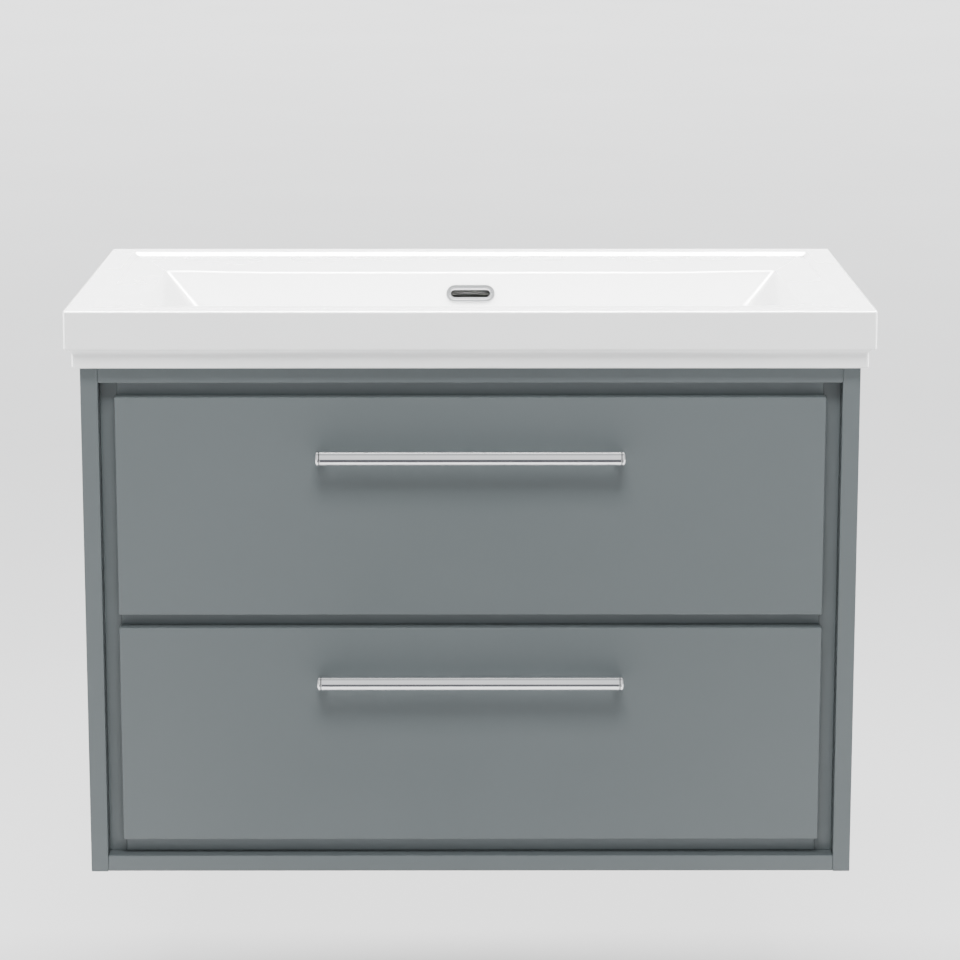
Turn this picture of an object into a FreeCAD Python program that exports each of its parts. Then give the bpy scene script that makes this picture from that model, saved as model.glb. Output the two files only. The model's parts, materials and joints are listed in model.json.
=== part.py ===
import FreeCAD, Part
import math
import os
import re

import Sketcher

# Wall-hung bathroom vanity: a painted two-drawer cabinet under a ceramic basin.
# Millimetres. +X is to the right, -Y is towards the user, +Z is up.
# y = 0 is the wall plane and x = 0 the middle of the cabinet.
# z = 0 is the height of the two hanger holes. Heights in this file are counted from the cabinet's
# bottom edge, and settle() lowers each piece by hanging_height.

DIMENSIONS = {
    # cabinet
    "cabinet_width": 800,
    "cabinet_height": 540,
    "cabinet_depth": 470,
    "hanging_height": 480,
    "side_board": 18,
    "frame_board": 17,
    "frame_lift": 0.7,
    "frame_projection": 20,
    "carcass_board": 18,
    "rail_board": 16,
    "arris": 1,
    "top_rail_drop": 40,
    "mid_rail_bottom": 257,
    "mid_rail_height": 28,
    "rear_rail_board": 18,
    "rear_top_rail_bottom": 420,
    "rear_top_rail_height": 100,
    "rear_bottom_rail_height": 80,
    "hanger_spacing": 640,
    "hanger_hole_radius": 5,
    "lower_hole_height": 76,
    # drawer fronts
    "front_board": 18,
    "front_width": 731,
    "front_height": 229.5,
    "lower_front_bottom": 35.5,
    "front_gap": 13.5,
    "front_arris": 1.5,
    "bumper_radius": 3,
    "bumper_thickness": 1.7,
    # handles
    "handle_length": 317,
    "handle_radius": 8,
    "handle_projection": 26.5,
    "handle_cap": 3.5,
    "handle_cap_radius": 8.2,
    "handle_groove": 0.8,
    "handle_neck_radius": 6.5,
    "handle_foot": 10,
    "handle_foot_depth": 14,
    "handle_arm_drop": 7,
    "handle_arm_height": 9,
    "screw_inset": 5,
    "screw_drop": 2.5,
    "screw_radius": 2,
    "screw_hole_radius": 2.2,
    "screw_head_radius": 4,
    "screw_head": 2.4,
    "screw_bite": 9,
    "upper_handle_height": 449.4,
    "lower_handle_height": 212.4,
    # drawer boxes
    "box_length": 400,
    "box_board": 15,
    "box_side_gap": 5.5,
    "box_bottom_board": 8,
    "box_bottom_recess": 14,
    "upper_box_bottom": 292,
    "upper_box_height": 128,
    "lower_box_bottom": 48,
    "lower_box_height": 190,
    "cutout_width": 150,
    "cutout_front": 353,
    "cutout_board": 12,
    # runners
    "runner_length": 400,
    "runner_front": 446,
    "runner_steel": 1.5,
    "runner_reach": 40,
    "runner_flange_height": 30,
    "runner_web_drop": 5,
    "runner_upstand": 10,
    "middle_start": 22.5,
    "middle_width": 14.5,
    "middle_drop": 2.5,
    "middle_height": 7.5,
    "middle_length": 380,
    "top_start": 21.5,
    "top_width": 17,
    "top_leg_inset": 4.5,
    "top_leg_bottom": 1,
    "top_length": 392,
    # hanger brackets
    "bracket_steel": 3,
    "bracket_height": 70,
    "bracket_wall_leg": 64,
    "bracket_side_leg": 60,
    "bracket_screw_rise": 22,
    "bracket_screw_setback": 56,
    "bracket_screw_length": 14,
    # basin
    "basin_width": 828,
    "basin_depth": 490,
    "rim_height": 39.5,
    "step_height": 20.5,
    "step_inset": 7,
    "rim_corner": 6,
    "rim_round": 2.5,
    "rim_border": 27,
    "ledge_drop_back": 4.5,
    "ledge_drop_front": 0.4,
    "basin_front_wall": 25,
    "basin_wall": 17,
    "hollow_height": 42,
    "bowl_depth": 112.5,
    "bowl_corner": 14,
    "bowl_top_width": 682,
    "bowl_top_back": 165,
    "bowl_top_front": 439.5,
    "bowl_floor_width": 490,
    "bowl_floor_back": 218,
    "bowl_floor_front": 402,
    "shell_top": 50,
    "shell_floor": 65,
    "shell_corner": 18,
    "shell_top_width": 692,
    "shell_top_back": 156,
    "shell_top_front": 447,
    "shell_floor_width": 496,
    "shell_floor_back": 213,
    "shell_floor_front": 408,
    "boss_bottom": 88,
    "boss_top": 60,
    "boss_radius": 36,
    "drain_back": 300,
    "drain_seat_radius": 33,
    "drain_seat_depth": 3,
    "drain_radius": 23,
    "duct_width": 68,
    "duct_back": 120,
    "duct_void_width": 48,
    "duct_void_back": 130,
    "duct_void_front": 150,
    "duct_void_top": 36,
    "duct_void_bottom": 76,
    "duct_void_height": 9,
    "overflow_drop": 27,
    "overflow_reach": 40,
    "overflow_length": 45.4,
    "overflow_height": 10,
    "basin_bolt_spacing": 280,
    "basin_bolt_radius": 7,
    "basin_bolt_height": 20,
    # overflow trim
    "trim_length": 54,
    "trim_height": 20,
    "trim_thickness": 2.2,
    "trim_slot_length": 42.6,
    "trim_slot_height": 8.2,
    "trim_spigot_length": 44.6,
    "trim_spigot_height": 9.6,
    "trim_spigot_depth": 9,
    # waste and trap
    "waste_radius": 22,
    "waste_bore": 20,
    "waste_top": 483,
    "waste_neck": 424,
    "tail_radius": 16,
    "tail_bore": 14.5,
    "tail_bottom": 312,
    "waste_window": 14,
    "flange_radius": 32,
    "flange_bottom": 475,
    "flange_underside": 485.5,
    "sleeve_radius": 19.9,
    "sleeve_bore": 18,
    "hub_radius": 8,
    "hub_bore": 4.3,
    "hub_height": 6,
    "seal_gap": 0.3,
    "seal_thickness": 1,
    "washer_thickness": 3.5,
    "washer_radius": 33,
    "nut_height": 10,
    "nut_across_flats": 62,
    "thread_gap": 0.1,
    "plug_radius": 26,
    "plug_underside": 487.9,
    "plug_height": 5,
    "stem_radius": 4,
    "stem_length": 30,
    "trap_radius": 31,
    "trap_wall": 2.5,
    "trap_head_bottom": 358,
    "trap_head_height": 42,
    "trap_neck_radius": 22,
    "trap_neck_height": 8,
    "trap_nut_radius": 25,
    "trap_nut_height": 14,
    "trap_bottle_bottom": 296,
    "outlet_height": 380,
    "stub_radius": 19,
    "stub_reach": 60,
    "pipe_start": 38,
    "pipe_beyond_wall": 30,
    "pipe_mark_depth": 0.4,
    "pipe_mark_width": 1,
    "rosette_radius": 36,
    "rosette_thickness": 7,
    "running_gap": 0.2,
}

LEFT, RIGHT = -1, 1
SIDES = {"left": LEFT, "right": RIGHT}
ALONG_X = FreeCAD.Vector(1, 0, 0)
ALONG_Y = FreeCAD.Vector(0, 1, 0)

doc = FreeCAD.newDocument("vanity")
sheet = doc.addObject("Spreadsheet::Sheet", "Dims")
for row, (alias, value) in enumerate(DIMENSIONS.items(), start=1):
    sheet.set(f"A{row}", alias)
    sheet.set(f"B{row}", str(value))
    sheet.setAlias(f"B{row}", alias)
doc.recompute()

sub_parts = []


# ---------------------------------------------------------------- helpers

def bound(text):
    """A formula over the sheet: each alias in the text gets the sheet's name before it."""
    def with_sheet(match):
        word = match.group(0)
        return f"Dims.{word}" if word in DIMENSIONS else word
    return re.sub(r"[a-z_]+", with_sheet, str(text))


def bind(thing, **formulas):
    for name, formula in formulas.items():
        thing.setExpression(name, bound(formula))


def settle(thing, x="0", y="0", z="0"):
    """Places a piece. z is the height above the cabinet's bottom edge."""
    thing.setExpression("Placement.Base.x", bound(x))
    thing.setExpression("Placement.Base.y", bound(y))
    thing.setExpression("Placement.Base.z", bound(f"{z} - hanging_height"))


def sub_part(thing, label):
    """Names a finished piece, so that it is checked and written as a node."""
    thing.Label = label
    sub_parts.append(thing)
    return thing


def box(name, x, y, z, width, depth, height):
    thing = doc.addObject("Part::Box", name)
    bind(thing, Length=width, Width=depth, Height=height)
    settle(thing, x, y, z)
    return thing


def upright(name, x, y, z, radius, height):
    """A cylinder along +Z from the given point."""
    thing = doc.addObject("Part::Cylinder", name)
    bind(thing, Radius=radius, Height=height)
    settle(thing, x, y, z)
    return thing


def level(name, x, y, z, radius, length, axis):
    """A cylinder lying along +X or +Y from the given point."""
    thing = upright(name, x, y, z, radius, length)
    turn = FreeCAD.Rotation(FreeCAD.Vector(0, 0, 1), axis)
    thing.Placement = FreeCAD.Placement(thing.Placement.Base, turn)
    settle(thing, x, y, z)
    return thing


def fuse(name, things):
    whole = doc.addObject("Part::MultiFuse", name)
    whole.Shapes = things
    return whole


def cut(name, base, tool):
    rest = doc.addObject("Part::Cut", name)
    rest.Base = base
    rest.Tool = tool
    return rest


def group(name, things):
    """Separate solids of one kind in one piece."""
    whole = doc.addObject("Part::Compound", name)
    whole.Links = things
    return whole


def tube(name, x, y, z, outer, inner, height):
    return cut(name, upright(name + "_outer", x, y, z, outer, height),
               upright(name + "_inner", x, y, z, inner, height))


def level_tube(name, x, y, z, outer, inner, length, axis):
    return cut(name, level(name + "_outer", x, y, z, outer, length, axis),
               level(name + "_inner", x, y, z, inner, length, axis))


def body_named(label):
    return sub_part(doc.addObject("PartDesign::Body", label + "_body"), label)


def sketch_in(body, plane, name, x="0", y="0", lift="0"):
    """A sketch on one of the body's origin planes, its own origin moved in the plane and off it."""
    sketch = body.newObject("Sketcher::SketchObject", name)
    support = next(f for f in body.Origin.OriginFeatures if f.Role == plane)
    sketch.AttachmentSupport = [(support, "")]
    sketch.MapMode = "FlatFace"
    sketch.setExpression("AttachmentOffset.Base.x", bound(x))
    sketch.setExpression("AttachmentOffset.Base.y", bound(y))
    sketch.setExpression("AttachmentOffset.Base.z", bound(lift))
    return sketch


def constrain(sketch, formula, *constraint):
    number = sketch.addConstraint(Sketcher.Constraint(*constraint))
    sketch.setExpression(f"Constraints[{number}]", bound(formula))


def number(formula):
    """The present value of a formula over the sheet."""
    return float(doc.Dims.evalExpression(bound(formula)))


def draw_rectangle(sketch, width, height, radius=None):
    """A rectangle about the sketch's origin, with round corners if a radius is given."""
    half_w, half_h = number(width) / 2, number(height) / 2
    r = number(radius) if radius else 0
    z = FreeCAD.Vector(0, 0, 1)
    sides = [
        ((-half_w + r, -half_h), (half_w - r, -half_h)),
        ((half_w, -half_h + r), (half_w, half_h - r)),
        ((half_w - r, half_h), (-half_w + r, half_h)),
        ((-half_w, half_h - r), (-half_w, -half_h + r)),
    ]
    lines = [
        sketch.addGeometry(Part.LineSegment(FreeCAD.Vector(*a, 0), FreeCAD.Vector(*b, 0)))
        for a, b in sides
    ]
    for line, way in zip(lines, ("Horizontal", "Vertical", "Horizontal", "Vertical")):
        sketch.addConstraint(Sketcher.Constraint(way, line))
    if radius:
        corners = []
        centres = [(1, -1), (1, 1), (-1, 1), (-1, -1)]
        for index, (sx, sy) in enumerate(centres):
            centre = FreeCAD.Vector(sx * (half_w - r), sy * (half_h - r), 0)
            start = -math.pi / 2 + index * math.pi / 2
            arc = Part.ArcOfCircle(Part.Circle(centre, z, r), start, start + math.pi / 2)
            corners.append(sketch.addGeometry(arc))
        for index in range(4):
            after = (index + 1) % 4
            corner = corners[index]
            sketch.addConstraint(Sketcher.Constraint("Tangent", lines[index], 2, corner, 1))
            sketch.addConstraint(Sketcher.Constraint("Tangent", corner, 2, lines[after], 1))
        for corner in corners[1:]:
            sketch.addConstraint(Sketcher.Constraint("Equal", corners[0], corner))
        constrain(sketch, radius, "Radius", corners[0], r)
        sketch.addConstraint(
            Sketcher.Constraint("Symmetric", corners[1], 3, corners[3], 3, -1, 1))
    else:
        for index in range(4):
            after = (index + 1) % 4
            sketch.addConstraint(
                Sketcher.Constraint("Coincident", lines[index], 2, lines[after], 1))
        sketch.addConstraint(Sketcher.Constraint("Symmetric", lines[0], 1, lines[2], 1, -1, 1))
    constrain(sketch, width, "DistanceX", lines[3], 1, lines[1], 1, 2 * half_w)
    constrain(sketch, height, "DistanceY", lines[0], 1, lines[2], 1, 2 * half_h)
    return sketch


def draw_circle(sketch, radius):
    circle = sketch.addGeometry(
        Part.Circle(FreeCAD.Vector(), FreeCAD.Vector(0, 0, 1), number(radius)))
    sketch.addConstraint(Sketcher.Constraint("Coincident", circle, 3, -1, 1))
    constrain(sketch, radius, "Radius", circle, number(radius))
    return sketch


def draw_slot(sketch, length, height):
    """A slot with round ends about the sketch's origin."""
    r = number(height) / 2
    reach = number(length) / 2 - r
    z = FreeCAD.Vector(0, 0, 1)
    right = sketch.addGeometry(Part.ArcOfCircle(
        Part.Circle(FreeCAD.Vector(reach, 0, 0), z, r), -math.pi / 2, math.pi / 2))
    left = sketch.addGeometry(Part.ArcOfCircle(
        Part.Circle(FreeCAD.Vector(-reach, 0, 0), z, r), math.pi / 2, 3 * math.pi / 2))
    top = sketch.addGeometry(
        Part.LineSegment(FreeCAD.Vector(reach, r, 0), FreeCAD.Vector(-reach, r, 0)))
    base = sketch.addGeometry(
        Part.LineSegment(FreeCAD.Vector(-reach, -r, 0), FreeCAD.Vector(reach, -r, 0)))
    for first, second in ((right, top), (top, left), (left, base), (base, right)):
        sketch.addConstraint(Sketcher.Constraint("Tangent", first, 2, second, 1))
    sketch.addConstraint(Sketcher.Constraint("Equal", right, left))
    sketch.addConstraint(Sketcher.Constraint("Horizontal", top))
    sketch.addConstraint(Sketcher.Constraint("Symmetric", right, 3, left, 3, -1, 1))
    constrain(sketch, f"({height}) / 2", "Radius", right, r)
    constrain(sketch, f"({length}) - ({height})", "DistanceX", left, 3, right, 3, 2 * reach)
    return sketch


def draw_outline(sketch, points):
    """A closed outline of straight lines through points given as pairs of formulas."""
    places = [FreeCAD.Vector(number(u), number(v), 0) for u, v in points]
    lines = []
    for index, place in enumerate(places):
        following = places[(index + 1) % len(places)]
        lines.append(sketch.addGeometry(Part.LineSegment(place, following)))
    for index, line in enumerate(lines):
        after = lines[(index + 1) % len(lines)]
        sketch.addConstraint(Sketcher.Constraint("Coincident", line, 2, after, 1))
    for line, place, (u, v) in zip(lines, places, points):
        fix_distance(sketch, line, "DistanceX", place.x, u, axis=-2)
        fix_distance(sketch, line, "DistanceY", place.y, v, axis=-1)
    return sketch


def fix_distance(sketch, line, kind, distance, formula, axis):
    """Holds a line's first point at a signed distance from the sketch's origin."""
    if distance == 0:
        sketch.addConstraint(Sketcher.Constraint("PointOnObject", line, 1, axis))
    elif distance > 0:
        constrain(sketch, formula, kind, -1, 1, line, 1, distance)
    else:
        constrain(sketch, f"-({formula})", kind, line, 1, -1, 1, -distance)


def feature(body, kind, sketch, name, **formulas):
    made = body.newObject("PartDesign::" + kind, name)
    made.Profile = sketch
    bind(made, **formulas)
    sketch.Visibility = False
    return made


def must_shrink(body, volume_before, name):
    doc.recompute()
    if body.Shape.Volume >= volume_before:
        raise RuntimeError(f"{name} cut nothing")


def pocket(body, sketch, name, depth, reverse=False, both_ways=False):
    doc.recompute()
    before = body.Shape.Volume
    made = feature(body, "Pocket", sketch, name, Length=depth)
    made.Reversed = reverse
    made.Midplane = both_ways
    must_shrink(body, before, name)
    return made


def round_edges(body, name, radius, wanted):
    """Rounds the body's edges that the test picks."""
    doc.recompute()
    base = body.Tip
    names = [f"Edge{i}" for i, e in enumerate(base.Shape.Edges, start=1) if wanted(e)]
    if not names:
        raise RuntimeError(f"{name} found no edge")
    made = body.newObject("PartDesign::Fillet", name)
    made.Base = (base, names)
    bind(made, Radius=radius)
    doc.recompute()
    return made


def turned(label, points):
    """A body turned about its own Z axis."""
    body = body_named(label)
    sketch = draw_outline(sketch_in(body, "XZ_Plane", label + "_profile"), points)
    made = feature(body, "Revolution", sketch, label + "_turning")
    made.ReferenceAxis = (sketch, ["V_Axis"])
    made.Angle = 360
    return body


def from_wall(side, start, width):
    """The low x of something `width` wide that starts `start` in from a carcass side's inner face."""
    inner = "cabinet_width / 2 - side_board - carcass_board"
    if side == RIGHT:
        return f"{inner} - ({start}) - ({width})"
    return f"({start}) - ({inner})"


def low_x(side, outer, width):
    """The low x of something `width` wide whose outer face is `outer` from the middle."""
    return f"({outer}) - ({width})" if side == RIGHT else f"-({outer})"


# ---------------------------------------------------------------- cabinet

CARCASS_HALF = "cabinet_width / 2 - side_board - carcass_board"
CARCASS_FRONT = "-(cabinet_depth - frame_projection)"
CARCASS_DEPTH = "cabinet_depth - frame_projection"
FRAME_TOP_OF_BOTTOM = "frame_lift + frame_board"


def is_straight_along(edge, axis):
    if not isinstance(edge.Curve, Part.Line):
        return False
    run = edge.Vertexes[-1].Point - edge.Vertexes[0].Point
    return abs(abs(run.dot(axis)) - run.Length) < 1e-6


def make_side_panels():
    """The two painted outer sides, with their front edges eased."""
    for word, side in SIDES.items():
        label = f"side_panel_{word}"
        body = body_named(label)
        sketch = sketch_in(body, "XY_Plane", label + "_plan",
                           x="side_board / 2", y="-cabinet_depth / 2")
        draw_rectangle(sketch, "side_board", "cabinet_depth")
        feature(body, "Pad", sketch, label + "_board", Length="cabinet_height")
        front = -DIMENSIONS["cabinet_depth"]
        up = FreeCAD.Vector(0, 0, 1)
        round_edges(body, label + "_arris", "arris",
                    lambda e: is_straight_along(e, up) and abs(e.CenterOfMass.y - front) < 1e-6)
        settle(body, low_x(side, "cabinet_width / 2", "side_board"))


def make_frame_board(label, height_from, eased_from_bottom):
    """The horizontal front boards of the frame: bottom panel or top rail."""
    deep = "cabinet_depth" if label == "bottom_panel" else "frame_projection"
    body = body_named(label)
    sketch = sketch_in(body, "XY_Plane", label + "_plan", y=f"({deep}) / 2")
    draw_rectangle(sketch, "cabinet_width - 2 * side_board", deep)
    feature(body, "Pad", sketch, label + "_board", Length="frame_board")
    eased = number(eased_from_bottom)
    across = FreeCAD.Vector(1, 0, 0)
    round_edges(body, label + "_arris", "arris",
                lambda e: is_straight_along(e, across) and abs(e.CenterOfMass.y) < 1e-6
                and abs(e.CenterOfMass.z - eased) < 1e-6)
    settle(body, y="-cabinet_depth", z=height_from)


def make_carcass_sides():
    """The inner carcass sides, drilled for the hanger brackets' screws."""
    for word, side in SIDES.items():
        label = f"carcass_side_{word}"
        body = body_named(label)
        height = f"cabinet_height - ({FRAME_TOP_OF_BOTTOM})"
        sketch = sketch_in(body, "XY_Plane", label + "_plan",
                           x="carcass_board / 2", y=f"-({CARCASS_DEPTH}) / 2")
        draw_rectangle(sketch, "carcass_board", CARCASS_DEPTH)
        feature(body, "Pad", sketch, label + "_board", Length=height)
        inner_face = "0" if side == RIGHT else "carcass_board"
        for way in (-1, 1):
            hole = sketch_in(
                body, "YZ_Plane", f"{label}_hole_{'low' if way < 0 else 'high'}",
                x="-bracket_screw_setback",
                y=f"hanging_height - ({FRAME_TOP_OF_BOTTOM}) + {way} * bracket_screw_rise",
                lift=inner_face)
            draw_circle(hole, "screw_radius")
            depth = "bracket_screw_length - bracket_steel"
            pocket(body, hole, f"{label}_drilling_{'low' if way < 0 else 'high'}", depth,
                   reverse=side == RIGHT)
        settle(body, low_x(side, "cabinet_width / 2 - side_board", "carcass_board"),
               z=FRAME_TOP_OF_BOTTOM)


def make_carcass_boards():
    width = f"2 * ({CARCASS_HALF})"
    left = f"-({CARCASS_HALF})"
    sub_part(box("carcass_floor", left, CARCASS_FRONT, FRAME_TOP_OF_BOTTOM,
                 width, CARCASS_DEPTH, "carcass_board"), "carcass_bottom")
    sub_part(box("recessed_rail", left, CARCASS_FRONT, "cabinet_height - top_rail_drop",
                 width, "rail_board", "top_rail_drop"), "recessed_top_rail")
    sub_part(box("middle_rail", left, CARCASS_FRONT, "mid_rail_bottom",
                 width, "rail_board", "mid_rail_height"), "mid_rail")


def make_rear_rail(label, bottom, height, hole_height):
    """A rear rail against the wall, with the two holes that take the wall bolts."""
    body = body_named(label)
    sketch = sketch_in(body, "XZ_Plane", label + "_plan", y=f"({height}) / 2")
    draw_rectangle(sketch, f"2 * ({CARCASS_HALF})", height)
    feature(body, "Pad", sketch, label + "_board", Length="rear_rail_board")
    for word, side in SIDES.items():
        hole = sketch_in(body, "XZ_Plane", f"{label}_hole_{word}",
                         x=f"{side} * hanger_spacing / 2", y=f"({hole_height}) - ({bottom})")
        draw_circle(hole, "hanger_hole_radius")
        pocket(body, hole, f"{label}_drilling_{word}", "rear_rail_board", reverse=True)
    settle(body, z=bottom)


def make_hanger_brackets():
    """Steel angles in the rear top corners: one leg on the rail, one on the carcass side."""
    rail_face = "-rear_rail_board - bracket_steel"
    low = "hanging_height - bracket_height / 2"
    for word, side in SIDES.items():
        name = f"hanger_{word}"
        wall_leg = box(name + "_wall_leg", from_wall(side, "0", "bracket_wall_leg"), rail_face,
                       low, "bracket_wall_leg", "bracket_steel", "bracket_height")
        side_leg = box(name + "_side_leg", from_wall(side, "0", "bracket_steel"),
                       "-rear_rail_board - bracket_side_leg", low,
                       "bracket_steel", "bracket_side_leg", "bracket_height")
        angle = fuse(name + "_angle", [wall_leg, side_leg])
        drills = [level(name + "_bolt_hole", f"{side} * hanger_spacing / 2", rail_face,
                        "hanging_height", "hanger_hole_radius", "bracket_steel", ALONG_Y)]
        for way in (-1, 1):
            drills.append(level(
                f"{name}_screw_hole_{way + 1}", from_wall(side, "0", "bracket_steel"),
                "-bracket_screw_setback", f"hanging_height + {way} * bracket_screw_rise",
                "screw_hole_radius", "bracket_steel", ALONG_X))
        sub_part(cut(name + "_bracket", angle, fuse(name + "_drills", drills)),
                 f"hanger_bracket_{word}")


def make_bracket_screws():
    screws = []
    for word, side in SIDES.items():
        for way in (-1, 1):
            name = f"bracket_screw_{word}_{way + 1}"
            height = f"hanging_height + {way} * bracket_screw_rise"
            outwards = from_wall(side, "bracket_steel - bracket_screw_length",
                                 "bracket_screw_length")
            shank = level(name + "_shank", outwards, "-bracket_screw_setback", height,
                          "screw_radius", "bracket_screw_length", ALONG_X)
            head = level(name + "_head", from_wall(side, "bracket_steel", "screw_head"),
                         "-bracket_screw_setback", height, "screw_head_radius", "screw_head",
                         ALONG_X)
            screws.append(fuse(name, [shank, head]))
    sub_part(group("bracket_screw_set", screws), "bracket_screws")


def make_bumpers():
    """Soft stops on the rails, behind the drawer fronts' corners."""
    heights = {
        "top": "cabinet_height - top_rail_drop + bumper_radius + 0.5",
        "upper_foot": "mid_rail_bottom + mid_rail_height - bumper_radius",
        "lower_head": "mid_rail_bottom + bumper_radius + 1",
    }
    bumpers = []
    for place, height in heights.items():
        for word, side in SIDES.items():
            bumpers.append(level(f"bumper_{place}_{word}", f"{side} * ({CARCASS_HALF} - 25)",
                                 f"{CARCASS_FRONT} - bumper_thickness", height,
                                 "bumper_radius", "bumper_thickness", ALONG_Y))
    sub_part(group("bumper_set", bumpers), "drawer_bumpers")


# ---------------------------------------------------------------- drawers

FRONT_BACK_FACE = "-(cabinet_depth - front_board)"
BOX_OUTER = f"{CARCASS_HALF} - box_side_gap"
BOX_INNER = f"{BOX_OUTER} - box_board"


def make_drawer_front(name, bottom, handle_height):
    label = f"{name}_drawer_front"
    body = body_named(label)
    sketch = sketch_in(body, "XZ_Plane", label + "_outline", y="front_height / 2")
    draw_rectangle(sketch, "front_width", "front_height")
    feature(body, "Pad", sketch, label + "_board", Length="front_board")
    front = -DIMENSIONS["front_board"]
    round_edges(body, label + "_arris", "front_arris",
                lambda e: abs(e.CenterOfMass.y - front) < 1e-6)
    for word, side in SIDES.items():
        hole = sketch_in(body, "XZ_Plane", f"{label}_hole_{word}",
                         x=f"{side} * (handle_length / 2 - screw_inset)",
                         y=f"({handle_height}) - screw_drop - ({bottom})")
        draw_circle(hole, "screw_hole_radius")
        pocket(body, hole, f"{label}_drilling_{word}", "front_board", reverse=True)
    settle(body, y=FRONT_BACK_FACE, z=bottom)


def make_handle(name, height):
    """A round bar between two end caps, each on an arm whose foot takes a screw."""
    axis_y = "-cabinet_depth - handle_projection"
    inner = "handle_length / 2 - handle_cap"
    bar = level(f"{name}_bar_rod", f"-({inner} - handle_groove)", axis_y, height,
                "handle_radius", f"2 * ({inner} - handle_groove)", ALONG_X)
    neck = level(f"{name}_bar_neck", f"-({inner})", axis_y, height,
                 "handle_neck_radius", f"2 * ({inner})", ALONG_X)
    sub_part(fuse(f"{name}_bar", [bar, neck]), f"{name}_handle_bar")
    posts, screws = [], []
    for word, side in SIDES.items():
        post = f"{name}_post_{word}"
        cap_x = low_x(side, "handle_length / 2", "handle_cap")
        foot_x = low_x(side, "handle_length / 2", "handle_foot")
        screw_x = f"{side} * (handle_length / 2 - screw_inset)"
        screw_z = f"{height} - screw_drop"
        cap = level(post + "_cap", cap_x, axis_y, height, "handle_cap_radius",
                    "handle_cap", ALONG_X)
        arm = box(post + "_arm", cap_x, axis_y, f"{height} - handle_arm_drop",
                  "handle_cap", "handle_projection", "handle_arm_height")
        foot = box(post + "_foot", foot_x, "-cabinet_depth - handle_foot_depth",
                   f"{height} - handle_arm_drop", "handle_foot", "handle_foot_depth",
                   "handle_arm_height")
        thread = level(post + "_thread", screw_x, "-cabinet_depth - screw_bite", screw_z,
                       "screw_radius", "screw_bite", ALONG_Y)
        posts.append(cut(post, fuse(post + "_blank", [cap, arm, foot]), thread))
        shank = level(post + "_screw_shank", screw_x, "-cabinet_depth - screw_bite", screw_z,
                      "screw_radius", "screw_bite + front_board", ALONG_Y)
        head = level(post + "_screw_head", screw_x, FRONT_BACK_FACE, screw_z,
                     "screw_head_radius", "screw_head", ALONG_Y)
        screws.append(fuse(post + "_screw", [shank, head]))
    sub_part(group(f"{name}_post_pair", posts), f"{name}_handle_posts")
    sub_part(group(f"{name}_screw_pair", screws), f"{name}_handle_screws")


def make_box_sides(name, bottom, height):
    for word, side in SIDES.items():
        sub_part(box(f"{name}_box_side_{word}", low_x(side, BOX_OUTER, "box_board"),
                     FRONT_BACK_FACE, bottom, "box_board", "box_length", height),
                 f"{name}_drawer_side_{word}")


def make_box_bottom(name, bottom, with_cutout):
    label = f"{name}_drawer_bottom"
    body = body_named(label)
    sketch = sketch_in(body, "XY_Plane", label + "_plan", y="box_length / 2")
    draw_rectangle(sketch, f"2 * ({BOX_INNER})", "box_length")
    feature(body, "Pad", sketch, label + "_board", Length="box_bottom_board")
    if with_cutout:
        deep = f"cutout_front + ({FRONT_BACK_FACE}) + box_length"
        notch = sketch_in(body, "XY_Plane", label + "_notch", y=f"box_length - ({deep}) / 2")
        draw_rectangle(notch, "cutout_width", deep)
        pocket(body, notch, label + "_cutout", "box_bottom_board", reverse=True)
    settle(body, y=FRONT_BACK_FACE, z=f"{bottom} + box_bottom_recess")


def make_upper_box_walls():
    """The back in two parts and the three boards round the cut-out for the trap."""
    floor = "upper_box_bottom + box_bottom_recess + box_bottom_board"
    rise = "upper_box_height - box_bottom_recess - box_bottom_board"
    back_y = f"({FRONT_BACK_FACE}) + box_length - box_board"
    outer = "cutout_width / 2 + cutout_board"
    for word, side in SIDES.items():
        width = f"({BOX_INNER}) - ({outer})"
        sub_part(box(f"upper_back_{word}", low_x(side, BOX_INNER, width), back_y, floor,
                     width, "box_board", rise), f"upper_drawer_back_{word}")
        sub_part(box(f"upper_cheek_{word}", low_x(side, outer, "cutout_board"),
                     "-cutout_front", floor, "cutout_board",
                     f"cutout_front + ({FRONT_BACK_FACE}) + box_length", rise),
                 f"upper_cutout_board_{word}")
    sub_part(box("upper_cutout_wall", f"-({outer})", "-cutout_front - cutout_board", floor,
                 f"2 * ({outer})", "cutout_board", rise), "upper_cutout_board_front")


def make_lower_box_back():
    floor = "lower_box_bottom + box_bottom_recess + box_bottom_board"
    rise = "lower_box_height - box_bottom_recess - box_bottom_board"
    back_y = f"({FRONT_BACK_FACE}) + box_length - box_board"
    sub_part(box("lower_back", f"-({BOX_INNER})", back_y, floor, f"2 * ({BOX_INNER})",
                 "box_board", rise), "lower_drawer_back")


# ---------------------------------------------------------------- runners

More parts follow.
